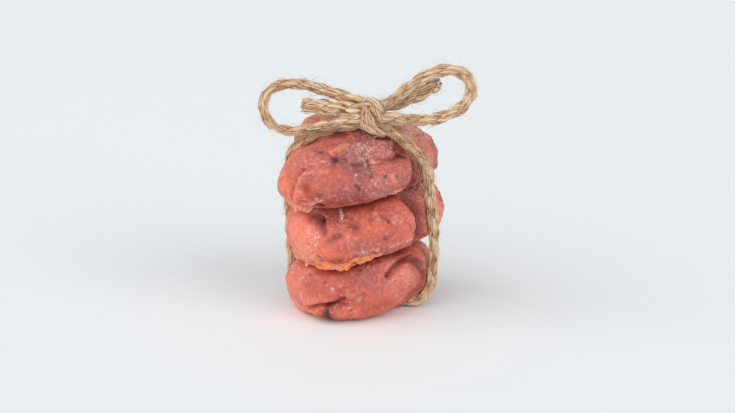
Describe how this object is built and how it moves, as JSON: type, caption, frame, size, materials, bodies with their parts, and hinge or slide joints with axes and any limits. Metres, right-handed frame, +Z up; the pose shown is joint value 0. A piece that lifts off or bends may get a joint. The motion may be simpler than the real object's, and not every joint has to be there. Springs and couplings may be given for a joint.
{
  "type": "dog treat stack",
  "caption": "Stack of soft hand-pressed dog treats tied with jute twine that runs under and over them to a knot and bow on top.",
  "frame": {"origin": "centre of the underside of the stack's box, on the surface it stands on", "axes": "+Z up through the stack, -Y towards the bow's face, +X to the right as the bow is faced"},
  "size_m": [0.0632, 0.0439, 0.0749],
  "materials": {
    "dough_top": "soft moist dough, matt to faintly shiny, slightly translucent",
    "dough_middle": "soft moist dough, matt to faintly shiny, slightly translucent",
    "dough_bottom": "soft moist dough, matt to faintly shiny, slightly translucent",
    "jute": "hairy twisted plant fibre, matt"
  },
  "bodies": {
    "root": {"treat_top": "dough_top", "treat_middle": "dough_middle", "treat_bottom": "dough_bottom", "twine_ring": "jute", "twine_knot": "jute", "bow_loop_left": "jute", "bow_loop_right": "jute", "bow_tail_left": "jute", "bow_tail_right": "jute"}
  },
  "joints": []
}
